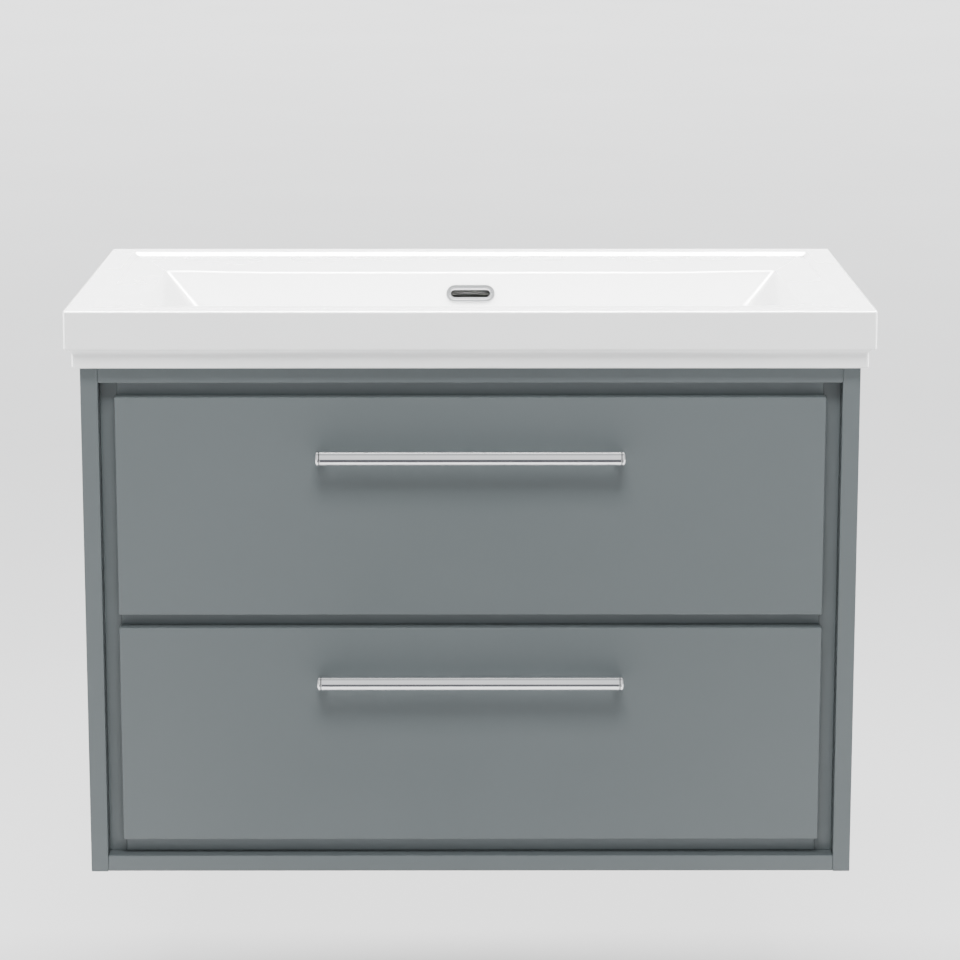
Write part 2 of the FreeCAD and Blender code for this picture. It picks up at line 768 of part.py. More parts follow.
def make_runners(name, bottom):
    """Full-extension undermount runners: three nested steel profiles on each side."""
    start = "-runner_front"
    for word, side in SIDES.items():
        tag = f"{name}_{word}"

        def strip(part, inset, width, drop, height, length, y=start):
            return box(f"{tag}_{part}", from_wall(side, inset, width), y,
                       f"{bottom} + ({drop})", width, length, height)

        web_bottom = "-runner_web_drop"
        fixed = [
            strip("flange", "0", "runner_steel", web_bottom, "runner_flange_height",
                  "runner_length"),
            strip("web", "0", "runner_reach", web_bottom, "runner_steel", "runner_length"),
            strip("upstand", "runner_reach - runner_steel", "runner_steel", web_bottom,
                  "runner_upstand", "runner_length"),
        ]
        sub_part(fuse(f"{tag}_fixed", fixed), f"{name}_cabinet_runner_{word}")
        far_leg = "middle_start + middle_width - runner_steel"
        middle = [
            strip("middle_web", "middle_start", "middle_width", "-middle_drop",
                  "runner_steel", "middle_length"),
            strip("middle_leg_a", "middle_start", "runner_steel", "-middle_drop",
                  "middle_height", "middle_length"),
            strip("middle_leg_b", far_leg, "runner_steel", "-middle_drop",
                  "middle_height", "middle_length"),
        ]
        sub_part(fuse(f"{tag}_middle", middle), f"{name}_middle_runner_{word}")
        top_bottom = "box_bottom_recess - runner_steel"
        leg_height = "box_bottom_recess - top_leg_bottom"
        second_leg = "top_start + top_width - top_leg_inset - runner_steel"
        top = [
            strip("top_web", "top_start", "top_width", top_bottom, "runner_steel",
                  "top_length"),
            strip("top_leg_a", "top_start + top_leg_inset", "runner_steel",
                  "top_leg_bottom", leg_height, "top_length"),
            strip("top_leg_b", second_leg, "runner_steel", "top_leg_bottom", leg_height,
                  "top_length"),
        ]
        sub_part(fuse(f"{tag}_top", top), f"{name}_drawer_runner_{word}")


# ---------------------------------------------------------------- basin

BOWL_BACK_SLOPE = "(bowl_floor_back - bowl_top_back) / bowl_depth"
BASIN_TOP = "step_height + rim_height"


def basin_plan(body, name, width, back, front, lift, corner=None):
    """A rectangle given by its width and its distances from the wall."""
    sketch = sketch_in(body, "XY_Plane", name, y=f"-(({back}) + ({front})) / 2", lift=lift)
    return draw_rectangle(sketch, width, f"({front}) - ({back})", corner)


def make_basin():
    """A thin-walled glazed casting: rim, recessed step, sloping bowl, drain boss and duct."""
    body = body_named("basin")
    rim = basin_plan(body, "rim_plan", "basin_width", "0", "basin_depth", "step_height",
                     "rim_corner")
    feature(body, "Pad", rim, "rim", Length="rim_height")
    top = number(BASIN_TOP)
    round_edges(body, "rim_rounding", "rim_round",
                lambda e: abs(e.BoundBox.ZMin - top) < 1e-6 and e.CenterOfMass.y < -1e-6)
    step = basin_plan(body, "step_plan", "basin_width - 2 * step_inset", "0",
                      "basin_depth - step_inset", "0", "rim_corner")
    feature(body, "Pad", step, "step", Length="step_height")
    hollow = basin_plan(body, "hollow_plan", "basin_width - 2 * (step_inset + basin_wall)",
                        "basin_wall", "basin_depth - step_inset - basin_front_wall", "0")
    pocket(body, hollow, "underside_hollow", "hollow_height", reverse=True)

    shell_top = basin_plan(body, "shell_top_plan", "shell_top_width", "shell_top_back",
                           "shell_top_front", "shell_top", "shell_corner")
    shell_floor = basin_plan(body, "shell_floor_plan", "shell_floor_width", "shell_floor_back",
                             "shell_floor_front", "-shell_floor", "shell_corner")
    shell = feature(body, "AdditiveLoft", shell_top, "bowl_shell")
    shell.Sections = [shell_floor]
    shell.Ruled = True
    duct = basin_plan(body, "duct_plan", "duct_width", "duct_back", "drain_back", "-boss_bottom")
    feature(body, "Pad", duct, "duct_foot", Length="boss_bottom - boss_top")
    rear_duct = basin_plan(body, "rear_duct_plan", "duct_width", "duct_back",
                           "shell_floor_back + 10", "-boss_bottom")
    feature(body, "Pad", rear_duct, "duct_riser", Length="boss_bottom + hollow_height")
    boss = sketch_in(body, "XY_Plane", "boss_plan", y="-drain_back", lift="-boss_bottom")
    draw_circle(boss, "boss_radius")
    feature(body, "Pad", boss, "drain_boss", Length="boss_bottom - boss_top")

    ledge = draw_outline(sketch_in(body, "YZ_Plane", "ledge_section", y=BASIN_TOP), [
        ("-rim_border", "0"),
        ("-rim_border", "-ledge_drop_back"),
        ("-(basin_depth - rim_border)", "-ledge_drop_front"),
        ("-(basin_depth - rim_border)", "0"),
    ])
    pocket(body, ledge, "sloping_ledge", "basin_width - 2 * rim_border", both_ways=True)
    bowl_top = basin_plan(body, "bowl_top_plan", "bowl_top_width", "bowl_top_back",
                          "bowl_top_front", BASIN_TOP, "bowl_corner")
    bowl_floor = basin_plan(body, "bowl_floor_plan", "bowl_floor_width", "bowl_floor_back",
                            "bowl_floor_front", f"{BASIN_TOP} - bowl_depth", "bowl_corner")
    doc.recompute()
    before = body.Shape.Volume
    bowl = feature(body, "SubtractiveLoft", bowl_top, "bowl")
    bowl.Sections = [bowl_floor]
    bowl.Ruled = True
    must_shrink(body, before, "bowl")

    floor = f"{BASIN_TOP} - bowl_depth"
    seat = sketch_in(body, "XY_Plane", "drain_seat_plan", y="-drain_back", lift=floor)
    draw_circle(seat, "drain_seat_radius")
    pocket(body, seat, "drain_seat", "drain_seat_depth")
    drain = sketch_in(body, "XY_Plane", "drain_plan", y="-drain_back", lift=floor)
    draw_circle(drain, "drain_radius")
    pocket(body, drain, "drain", f"{floor} + boss_bottom")

    riser = basin_plan(body, "duct_void_plan", "duct_void_width", "duct_void_back",
                       "duct_void_front", "-duct_void_bottom")
    pocket(body, riser, "duct_riser_void", "duct_void_bottom + duct_void_top", reverse=True)
    foot = basin_plan(body, "duct_foot_void_plan", "duct_void_width", "duct_void_back",
                      "drain_back", "-duct_void_bottom")
    pocket(body, foot, "duct_foot_void", "duct_void_height", reverse=True)

    slope = number(f"atan({BOWL_BACK_SLOPE})")
    slot = sketch_in(body, "XZ_Plane", "overflow_plan", y=f"{BASIN_TOP} - overflow_drop",
                     lift=f"bowl_top_back + overflow_drop * {BOWL_BACK_SLOPE}")
    slot.AttachmentOffset = FreeCAD.Placement(
        slot.AttachmentOffset.Base, FreeCAD.Rotation(FreeCAD.Vector(1, 0, 0), -slope))
    draw_slot(slot, "overflow_length", "overflow_height")
    pocket(body, slot, "overflow", "2 * overflow_reach", both_ways=True)

    for word, side in SIDES.items():
        hole = sketch_in(body, "XZ_Plane", f"basin_hole_{word}",
                         x=f"{side} * basin_bolt_spacing / 2", y="basin_bolt_height")
        draw_circle(hole, "basin_bolt_radius")
        pocket(body, hole, f"basin_bolt_hole_{word}", "basin_wall", reverse=True)
    settle(body, z="cabinet_height")


def make_overflow_trim():
    """A slotted chrome plate on the bowl's back wall, with a spigot into the overflow."""
    body = body_named("overflow_trim")
    plate = draw_slot(sketch_in(body, "XZ_Plane", "trim_plan"), "trim_length", "trim_height")
    feature(body, "Pad", plate, "trim_plate", Length="trim_thickness")
    spigot = draw_slot(sketch_in(body, "XZ_Plane", "trim_spigot_plan"),
                       "trim_spigot_length", "trim_spigot_height")
    made = feature(body, "Pad", spigot, "trim_spigot", Length="trim_spigot_depth")
    made.Reversed = True
    opening = draw_slot(sketch_in(body, "XZ_Plane", "trim_slot_plan"),
                        "trim_slot_length", "trim_slot_height")
    pocket(body, opening, "trim_slot", "4 * trim_spigot_depth", both_ways=True)
    slope = number(f"atan({BOWL_BACK_SLOPE})")
    body.Placement = FreeCAD.Placement(
        FreeCAD.Vector(), FreeCAD.Rotation(FreeCAD.Vector(1, 0, 0), -slope))
    settle(body, y=f"-(bowl_top_back + overflow_drop * {BOWL_BACK_SLOPE})",
           z=f"cabinet_height + {BASIN_TOP} - overflow_drop")


# ---------------------------------------------------------------- waste and trap

DRAIN_Y = "-drain_back"
BOSS_FACE = "cabinet_height - boss_bottom"


def make_waste_flange():
    """The drain's upper flange, with a sleeve and a bridge that guides the plug's stem."""
    under = "flange_underside - flange_bottom"
    body = turned("waste_flange", [
        ("sleeve_bore", "0"),
        ("sleeve_radius", "0"),
        ("sleeve_radius", under),
        ("flange_radius", under),
        ("flange_radius", f"{under} + 1.2"),
        ("flange_radius - 3", f"{under} + 1.8"),
        ("sleeve_radius + 2", f"{under} + 1"),
        ("sleeve_bore", f"{under} + 0.3"),
    ])
    bridge = sketch_in(body, "XY_Plane", "bridge_plan")
    draw_rectangle(bridge, "2 * sleeve_bore + 1", "hub_bore")
    feature(body, "Pad", bridge, "bridge", Length="hub_height - 1")
    hub = draw_circle(sketch_in(body, "XY_Plane", "hub_plan"), "hub_radius")
    feature(body, "Pad", hub, "hub", Length="hub_height")
    bore = draw_circle(sketch_in(body, "XY_Plane", "hub_bore_plan"), "hub_bore")
    pocket(body, bore, "hub_drilling", "hub_height", reverse=True)
    settle(body, y=DRAIN_Y, z="flange_bottom")


def make_waste_body():
    """The waste tube under the flange, windowed for the overflow, with its tail pipe."""
    body = turned("waste_body", [
        ("tail_bore", "0"),
        ("tail_radius", "0"),
        ("tail_radius", "waste_neck - tail_bottom"),
        ("waste_radius", "waste_neck - tail_bottom"),
        ("waste_radius", "waste_top - tail_bottom"),
        ("waste_bore", "waste_top - tail_bottom"),
        ("waste_bore", "waste_neck - tail_bottom + 4"),
        ("tail_bore", "waste_neck - tail_bottom + 4"),
    ])
    duct_middle = "cabinet_height - duct_void_bottom + duct_void_height / 2 - tail_bottom"
    for plane in ("XZ_Plane", "YZ_Plane"):
        window = sketch_in(body, plane, f"window_plan_{plane[:2].lower()}", y=duct_middle)
        draw_rectangle(window, "waste_window", "duct_void_height")
        pocket(body, window, f"windows_{plane[:2].lower()}", "3 * waste_radius",
               both_ways=True)
    settle(body, y=DRAIN_Y, z="tail_bottom")


def make_waste_seals():
    upper = tube("upper_seal", "0", DRAIN_Y, "flange_underside - seal_thickness",
                 "flange_radius - 2", "waste_radius + seal_gap", "seal_thickness")
    lower = tube("lower_washer", "0", DRAIN_Y, f"{BOSS_FACE} - washer_thickness",
                 "washer_radius", "waste_radius + seal_gap", "washer_thickness")
    sub_part(group("seal_pair", [upper, lower]), "waste_seals")


def make_waste_nut():
    low = f"{BOSS_FACE} - washer_thickness - nut_height"
    hexagon = doc.addObject("Part::Prism", "nut_hexagon")
    hexagon.Polygon = 6
    bind(hexagon, Circumradius="nut_across_flats / sqrt(3)", Height="nut_height")
    settle(hexagon, y=DRAIN_Y, z=low)
    bore = upright("nut_bore", "0", DRAIN_Y, low, "waste_radius + thread_gap", "nut_height")
    sub_part(cut("nut", hexagon, bore), "waste_nut")


def make_waste_plug():
    """The plug that is pressed to open and close the waste: a low dome on a stem."""
    body = turned("waste_plug", [
        ("0", "0"),
        ("stem_radius", "0"),
        ("stem_radius", "stem_length"),
        ("plug_radius - 3", "stem_length"),
        ("plug_radius", "stem_length + 1.5"),
        ("plug_radius", "stem_length + 2.5"),
        ("plug_radius * 0.8", "stem_length + plug_height * 0.82"),
        ("plug_radius * 0.4", "stem_length + plug_height * 0.97"),
        ("0", "stem_length + plug_height"),
    ])
    settle(body, y=DRAIN_Y, z="plug_underside - stem_length")


def make_trap():
    """A bottle trap: head with a side outlet, unscrewing bottle, and two pipe nuts."""
    top = "trap_head_bottom + trap_head_height"
    head = upright("trap_head", "0", DRAIN_Y, "trap_head_bottom", "trap_radius",
                   "trap_head_height")
    neck = upright("trap_neck", "0", DRAIN_Y, top, "trap_neck_radius", "trap_neck_height")
    stub = level("trap_stub", "0", DRAIN_Y, "outlet_height", "stub_radius", "stub_reach",
                 ALONG_Y)
    cavity = upright("trap_cavity", "0", DRAIN_Y, "trap_head_bottom",
                     "trap_radius - trap_wall", "trap_head_height - trap_wall")
    inlet = upright("trap_inlet", "0", DRAIN_Y, "trap_head_bottom",
                    "tail_radius + running_gap", "trap_head_height + trap_neck_height")
    way_out = level("trap_way_out", "0", DRAIN_Y, "outlet_height", "tail_bore", "stub_reach",
                    ALONG_Y)
    socket = level("trap_socket", "0", f"{DRAIN_Y} + pipe_start", "outlet_height",
                   "tail_radius + running_gap", "stub_reach - pipe_start", ALONG_Y)
    blank = fuse("trap_blank", [head, neck, stub])
    sub_part(cut("trap_casting", blank, fuse("trap_hollows", [cavity, inlet, way_out, socket])),
             "trap_body")

    bottle = upright("bottle_outer", "0", DRAIN_Y, "trap_bottle_bottom", "trap_radius",
                     "trap_head_bottom - trap_bottle_bottom")
    inside = upright("bottle_inside", "0", DRAIN_Y, "trap_bottle_bottom + trap_wall",
                     "trap_radius - trap_wall",
                     "trap_head_bottom - trap_bottle_bottom - trap_wall")
    sub_part(cut("bottle", bottle, inside), "trap_bottle")

    inlet_nut = tube("inlet_nut", "0", DRAIN_Y, f"{top} + trap_neck_height",
                     "trap_nut_radius", "tail_radius + thread_gap", "trap_nut_height")
    outlet_nut = level_tube("outlet_nut", "0", f"{DRAIN_Y} + stub_reach", "outlet_height",
                            "trap_nut_radius", "tail_radius + thread_gap", "trap_nut_height",
                            ALONG_Y)
    sub_part(group("trap_nut_pair", [inlet_nut, outlet_nut]), "trap_nuts")


def make_outlet_pipe():
    """The pipe from the trap into the wall, with a shallow ring at the wall plane."""
    length = "drain_back - pipe_start + pipe_beyond_wall"
    pipe = level_tube("pipe", "0", f"{DRAIN_Y} + pipe_start", "outlet_height", "tail_radius",
                      "tail_bore", length, ALONG_Y)
    mark = level_tube("pipe_mark", "0", "-pipe_mark_width", "outlet_height",
                      "tail_radius + 1", "tail_radius - pipe_mark_depth", "pipe_mark_width",
                      ALONG_Y)
    sub_part(cut("marked_pipe", pipe, mark), "outlet_pipe")


def make_rosette():
    body = turned("wall_rosette", [
        ("tail_radius + running_gap", "0"),
        ("rosette_radius", "0"),
        ("rosette_radius", "1.5"),
        ("rosette_radius * 0.78", "rosette_thickness * 0.62"),
        ("tail_radius + 4", "rosette_thickness"),
        ("tail_radius + running_gap", "rosette_thickness"),
    ])
    body.Placement = FreeCAD.Placement(
        FreeCAD.Vector(), FreeCAD.Rotation(FreeCAD.Vector(1, 0, 0), 90))
    settle(body, z="outlet_height")


# ---------------------------------------------------------------- assembly

make_side_panels()
make_frame_board("bottom_panel", "frame_lift", "frame_board")
make_frame_board("top_front_rail", "cabinet_height - frame_board", "0")
make_carcass_sides()
make_carcass_boards()
make_rear_rail("rear_top_rail", "rear_top_rail_bottom", "rear_top_rail_height",
               "hanging_height")
make_rear_rail("rear_bottom_rail", f"{FRAME_TOP_OF_BOTTOM} + carcass_board",
               "rear_bottom_rail_height", "lower_hole_height")
make_hanger_brackets()
make_bracket_screws()
make_bumpers()

UPPER_FRONT_BOTTOM = "lower_front_bottom + front_height + front_gap"
make_drawer_front("upper", UPPER_FRONT_BOTTOM, "upper_handle_height")
make_drawer_front("lower", "lower_front_bottom", "lower_handle_height")
for drawer in ("upper", "lower"):
    make_handle(drawer, f"{drawer}_handle_height")
    make_box_sides(drawer, f"{drawer}_box_bottom", f"{drawer}_box_height")
    make_box_bottom(drawer, f"{drawer}_box_bottom", with_cutout=drawer == "upper")
    make_runners(drawer, f"{drawer}_box_bottom")
make_upper_box_walls()
make_lower_box_back()

make_basin()
make_overflow_trim()
make_waste_flange()
make_waste_body()
make_waste_seals()
make_waste_nut()
make_waste_plug()
make_trap()
make_outlet_pipe()
make_rosette()

doc.recompute()
for thing in doc.Objects:
    if {"Invalid", "Error"} & set(thing.State):
        raise RuntimeError(f"{thing.Name} failed: {thing.State}")
for piece in sub_parts:
    if piece.Shape.isNull() or not piece.Shape.isValid() or not piece.Shape.Solids:
        raise RuntimeError(f"{piece.Label} has no valid solid")

os.makedirs("parts", exist_ok=True)
for piece in sub_parts:
    piece.Shape.exportStep(f"parts/{piece.Label}.step")
print(len(sub_parts), "sub-parts written")
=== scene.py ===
import json
import math

import bmesh
import bpy
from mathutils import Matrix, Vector


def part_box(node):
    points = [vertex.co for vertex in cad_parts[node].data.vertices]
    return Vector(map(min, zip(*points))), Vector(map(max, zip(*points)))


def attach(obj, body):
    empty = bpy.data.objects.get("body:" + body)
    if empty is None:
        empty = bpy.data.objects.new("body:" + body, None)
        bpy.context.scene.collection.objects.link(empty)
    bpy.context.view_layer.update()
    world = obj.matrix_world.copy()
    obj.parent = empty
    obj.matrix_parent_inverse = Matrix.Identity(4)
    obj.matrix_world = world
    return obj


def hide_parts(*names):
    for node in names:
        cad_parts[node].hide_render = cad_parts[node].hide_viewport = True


# The looks of the wall-hung vanity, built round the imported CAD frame.
# Lengths are in millimetres until place() turns them into metres of the row frame, and heights
# are counted from the cabinet's bottom edge. Materials, floor and lights are given in metres.

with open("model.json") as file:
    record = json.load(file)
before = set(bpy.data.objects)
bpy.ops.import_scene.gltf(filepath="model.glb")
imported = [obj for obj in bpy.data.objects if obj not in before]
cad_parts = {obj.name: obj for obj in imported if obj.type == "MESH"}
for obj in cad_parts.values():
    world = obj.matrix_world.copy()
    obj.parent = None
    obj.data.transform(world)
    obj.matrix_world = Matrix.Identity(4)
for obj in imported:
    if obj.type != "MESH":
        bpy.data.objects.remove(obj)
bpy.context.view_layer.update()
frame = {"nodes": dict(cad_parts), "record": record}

HANGING_HEIGHT = 480
NODES = frame["nodes"]
BODY_OF = {
    node: body
    for body, nodes in frame["record"]["behaviour"]["bodies"].items()
    for node in nodes
}


def place(x, y, z):
    """A point in millimetres, as metres in the row frame."""
    return Vector((x, y, z - HANGING_HEIGHT)) / 1000


def edges_of(node):
    """A CAD node's box in millimetres, heights from the cabinet's bottom edge."""
    low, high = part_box(node)
    lift = Vector((0, 0, HANGING_HEIGHT))
    return Vector(low) * 1000 + lift, Vector(high) * 1000 + lift


# ---------------------------------------------------------------- materials


# The part of a noise's range that a colour or roughness is spread over.
NOISE_LOW, NOISE_HIGH = 0.3, 0.7


class Surface:
    """A principled material with its colour, roughness and relief driven by procedural nodes."""

    def __init__(self, name, metallic=0.0, coat=0.0, coat_roughness=0.05):
        self.material = bpy.data.materials.new(name)
        self.material.use_nodes = True
        self.nodes = self.material.node_tree.nodes
        self.links = self.material.node_tree.links
        self.shader = self.nodes["Principled BSDF"]
        self.shader.inputs["Metallic"].default_value = metallic
        self.shader.inputs["Coat Weight"].default_value = coat
        self.shader.inputs["Coat Roughness"].default_value = coat_roughness
        self.coordinates = self.nodes.new("ShaderNodeTexCoord").outputs["Object"]

    def stretched(self, scale):
        """Object coordinates scaled by axis."""
        mapping = self.nodes.new("ShaderNodeMapping")
        mapping.inputs["Scale"].default_value = scale
        self.links.new(self.coordinates, mapping.inputs["Vector"])
        return mapping.outputs["Vector"]

    def noise(self, scale, detail=3.0, stretch=(1, 1, 1)):
        texture = self.nodes.new("ShaderNodeTexNoise")
        texture.inputs["Scale"].default_value = scale
        texture.inputs["Detail"].default_value = detail
        self.links.new(self.stretched(stretch), texture.inputs["Vector"])
        return texture.outputs["Fac"]

    def colours(self, factor, low, high):
        ramp = self.nodes.new("ShaderNodeValToRGB")
        ramp.color_ramp.elements[0].position = NOISE_LOW
        ramp.color_ramp.elements[0].color = (*low, 1)
        ramp.color_ramp.elements[1].position = NOISE_HIGH
        ramp.color_ramp.elements[1].color = (*high, 1)
        self.links.new(factor, ramp.inputs["Fac"])
        self.links.new(ramp.outputs["Color"], self.shader.inputs["Base Color"])
        return self

    def roughnesses(self, factor, low, high):
        spread = self.nodes.new("ShaderNodeMapRange")
        spread.inputs["From Min"].default_value = NOISE_LOW
        spread.inputs["From Max"].default_value = NOISE_HIGH
        spread.inputs["To Min"].default_value = low
        spread.inputs["To Max"].default_value = high
        self.links.new(factor, spread.inputs["Value"])
        self.links.new(spread.outputs["Result"], self.shader.inputs["Roughness"])
        return self

    def relief(self, height, strength, distance):
        bump = self.nodes.new("ShaderNodeBump")
        bump.inputs["Strength"].default_value = strength
        bump.inputs["Distance"].default_value = distance
        self.links.new(height, bump.inputs["Height"])
        self.links.new(bump.outputs["Normal"], self.shader.inputs["Normal"])
        return self


def lacquer(name, low, high, roughness):
    """Sprayed satin paint: very faint cloudiness and orange peel."""
    made = Surface(name)
    made.colours(made.noise(2.5), low, high)
    made.roughnesses(made.noise(9, stretch=(1, 1, 2)), roughness - 0.03, roughness + 0.03)
    made.relief(made.noise(900, detail=1.0), 0.05, 0.0001)
    return made.material


def glaze():
    made = Surface("basin_glaze", coat=1.0, coat_roughness=0.04)
    made.shader.inputs["IOR"].default_value = 1.6
    made.colours(made.noise(3), (0.87, 0.872, 0.87), (0.895, 0.895, 0.89))
    made.roughnesses(made.noise(14), 0.11, 0.16)
    made.relief(made.noise(38, detail=1.0), 0.012, 0.0004)
    return made.material


# The overflow duct's unglazed body, coloured mid grey as painted shade so that the overflow opening
# looks dark inside.
def darkened_duct_body():
    made = Surface("duct_body_painted_shade")
    made.colours(made.noise(60), (0.34, 0.335, 0.325), (0.42, 0.415, 0.40))
    made.roughnesses(made.noise(120), 0.55, 0.7)
    made.relief(made.noise(700), 0.2, 0.0002)
    return made.material


def plated(name, low, high, rough_low, rough_high):
    made = Surface(name, metallic=1.0)
    made.colours(made.noise(40), low, high)
    made.roughnesses(made.noise(160), rough_low, rough_high)
    made.relief(made.noise(420, detail=1.0), 0.02, 0.0001)
    return made.material


def zinc():
    made = Surface("zinc_steel", metallic=1.0)
    made.colours(made.noise(55, detail=5.0), (0.46, 0.47, 0.48), (0.62, 0.63, 0.64))
    made.roughnesses(made.noise(200, stretch=(1, 0.04, 1)), 0.28, 0.42)
    made.relief(made.noise(600, stretch=(1, 0.03, 1)), 0.06, 0.0001)
    return made.material


def foil(name, low, high):
    """Pale matt foil on chipboard, with a faint linen grain."""
    made = Surface(name)
    made.colours(made.noise(140, stretch=(1, 0.05, 1)), low, high)
    made.roughnesses(made.noise(50), 0.42, 0.5)
    made.relief(made.noise(900, stretch=(1, 0.06, 1)), 0.12, 0.0001)
    return made.material


def timber():
    made = Surface("rail_board")
    grain = made.noise(26, detail=6.0, stretch=(0.06, 1, 1))
    made.colours(grain, (0.44, 0.31, 0.19), (0.60, 0.46, 0.30))
    made.roughnesses(made.noise(80, stretch=(0.1, 1, 1)), 0.5, 0.65)
    made.relief(made.noise(300, stretch=(0.03, 1, 1)), 0.25, 0.0002)
    return made.material


def moulded(name, low, high, rough):
    made = Surface(name)
    made.colours(made.noise(30), low, high)
    made.roughnesses(made.noise(90), rough - 0.04, rough + 0.05)
    made.relief(made.noise(500), 0.06, 0.0001)
    return made.material


PAINT = lacquer("cabinet_paint", (0.074, 0.086, 0.089), (0.078, 0.090, 0.094), 0.38)
# The recessed boards get a lighter copy of the cabinet paint: painted light that brightens the gaps
# round the drawers.
RECESS_PAINT_PAINTED_LIGHT = lacquer("recess_paint_painted_light", (0.140, 0.160, 0.167), (0.147, 0.168, 0.175), 0.42)
GLAZE = glaze()
DUCT_PAINTED_SHADE = darkened_duct_body()
CHROME = plated("chrome_plate", (0.86, 0.865, 0.875), (0.90, 0.905, 0.91), 0.03, 0.06)
# Dark metal for the grooves by the bar's end caps: painted shade.
GROOVE_PAINTED_SHADE = plated("groove_painted_shade", (0.10, 0.10, 0.105), (0.16, 0.16, 0.165), 0.35, 0.5)
ZINC = zinc()
FOIL = foil("drawer_board", (0.60, 0.59, 0.565), (0.66, 0.65, 0.625))
TIMBER = timber()
PLASTIC = moulded("white_plastic", (0.78, 0.78, 0.77), (0.83, 0.83, 0.82), 0.3)
RUBBER = moulded("soft_rubber", (0.03, 0.03, 0.032), (0.045, 0.045, 0.047), 0.6)

BY_SLOT = {
    "cabinet_paint": PAINT,
    "drawer_board": FOIL,
    "rail_board": TIMBER,
    "basin_glaze": GLAZE,
    "chrome_plate": CHROME,
    "zinc_steel": ZINC,
    "white_plastic": PLASTIC,
    "soft_rubber": RUBBER,
}
SLOT_OF = {entry["node"]: entry["material_slot"] for entry in frame["record"]["subparts"]}

for node, shown in NODES.items():
    for holder in shown.material_slots:
        holder.material = BY_SLOT[SLOT_OF[node]]


# ---------------------------------------------------------------- mesh helpers


def piece(name, mesh, material, body):
    """Adds a finished mesh as a piece that rides on a body."""
    mesh.materials.append(material)
    shown = bpy.data.objects.new(name, mesh)
    bpy.context.collection.objects.link(shown)
    flats = shown.modifiers.new("flats", "WEIGHTED_NORMAL")
    flats.mode = "FACE_AREA"
    flats.keep_sharp = True
    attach(shown, body)
    return shown


def mesh_from(name, build):
    """A mesh made by build(bm), with its normals set outwards and smooth faces."""
    mesh = bpy.data.meshes.new(name)
    bm = bmesh.new()
    build(bm)
    bmesh.ops.recalc_face_normals(bm, faces=bm.faces)
    for face in bm.faces:
        face.smooth = True
    bm.to_mesh(mesh)
    bm.free()
    mesh.set_sharp_from_angle(angle=math.radians(35))
    return mesh


def add_box(bm, low, high, round_by):
    """A block with rounded edges between two corners in millimetres."""
    made = bmesh.ops.create_cube(bm, size=1)
    centre, size = (low + high) / 2, high - low
    for vertex in made["verts"]:
        spot = Vector(a * b for a, b in zip(vertex.co, size)) + centre
        vertex.co = place(*spot)
    edges = {edge for vertex in made["verts"] for edge in vertex.link_edges}
    bmesh.ops.bevel(bm, geom=list(edges), offset=round_by / 1000, segments=3,
                    affect="EDGES", profile=0.5)


def board(node, material, arris):
    """A board in the CAD node's place, with eased edges."""
    low, high = edges_of(node)
    mesh = mesh_from(node + "_mesh", lambda bm: add_box(bm, low, high, arris))
    shown = piece(node + "_board", mesh, material, BODY_OF[node])
    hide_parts(node)


def skin(bm, rings, closed=True):
    """Faces between rings of equally many points in metres. A closed skin ends at its first ring."""
    rows = [[bm.verts.new(point) for point in ring] for ring in rings]
    pairs = list(zip(rows, rows[1:] + rows[:1])) if closed else list(zip(rows, rows[1:]))
    for lower, upper in pairs:
        for i in range(len(lower)):
            j = (i + 1) % len(lower)
            bm.faces.new((lower[i], lower[j], upper[j], upper[i]))
    return rows


def capped_skin(bm, rings):
    """An open skin with a face on its first ring and one on its last."""
    rows = skin(bm, rings, closed=False)
    bm.faces.new(rows[0])
    bm.faces.new(rows[-1])


def towards(here, there, distance):
    """A point at a distance from here on the way to there, and not past 0.45 of the way."""
    step = there - here
    return here + step * min(distance / max(step.length, 1e-9), 0.45)


EASE_STEPS = 5


def eased(stations):
    """Rings for the stations (ring, ease): an ease turns the corner there into a curve."""
    rings = []
    for index, (ring, ease) in enumerate(stations):
        if not ease:
            rings.append(ring)
            continue
        before, after = stations[index - 1][0], stations[(index + 1) % len(stations)][0]
        for step in range(EASE_STEPS + 1):
            t = step / EASE_STEPS
            rings.append([
                towards(here, back, ease) * (1 - t) ** 2 + here * 2 * t * (1 - t)
                + towards(here, ahead, ease) * t * t
                for back, here, ahead in zip(before, ring, after)])
    return rings


def plain_object(mesh):
    shown = bpy.data.objects.new(mesh.name, mesh)
    bpy.context.collection.objects.link(shown)
    return shown


def carved(mesh, cutters):
    """The mesh with the cutters' meshes taken out of it."""
    rough = plain_object(mesh)
    tools = [plain_object(cutter) for cutter in cutters]
    for tool in tools:
        cutting = rough.modifiers.new(tool.name, "BOOLEAN")
        cutting.object = tool
        cutting.solver = "EXACT"
    graph = bpy.context.evaluated_depsgraph_get()
    final = bpy.data.meshes.new_from_object(rough.evaluated_get(graph))
    final.set_sharp_from_angle(angle=math.radians(35))
    final.materials.clear()
    for used in (rough, *tools):
        bpy.data.objects.remove(used)
    return final


def turned_mesh(name, profile, axis_point, along, segments=72):
    """A mesh turned about a level line through a point, from pairs (radius, place along it)."""

    def build(bm):
        rings = []
        for radius, shift in profile:
            ring = []
            for i in range(segments):
                turn = 2 * math.pi * i / segments
                u, v = radius * math.cos(turn), radius * math.sin(turn)
                offset = (shift, u, v) if along == "x" else (u, shift, v)
                ring.append(place(*(axis_point + Vector(offset))))
            rings.append(ring)
        capped_skin(bm, rings)

    return mesh_from(name, build)


# ---------------------------------------------------------------- cabinet boards

# The upper drawer's bottom has a cut-out, so it stays a CAD node.
DRAWER_BOARDS = [node for node in NODES
                 if SLOT_OF[node] == "drawer_board" and node != "upper_drawer_bottom"]

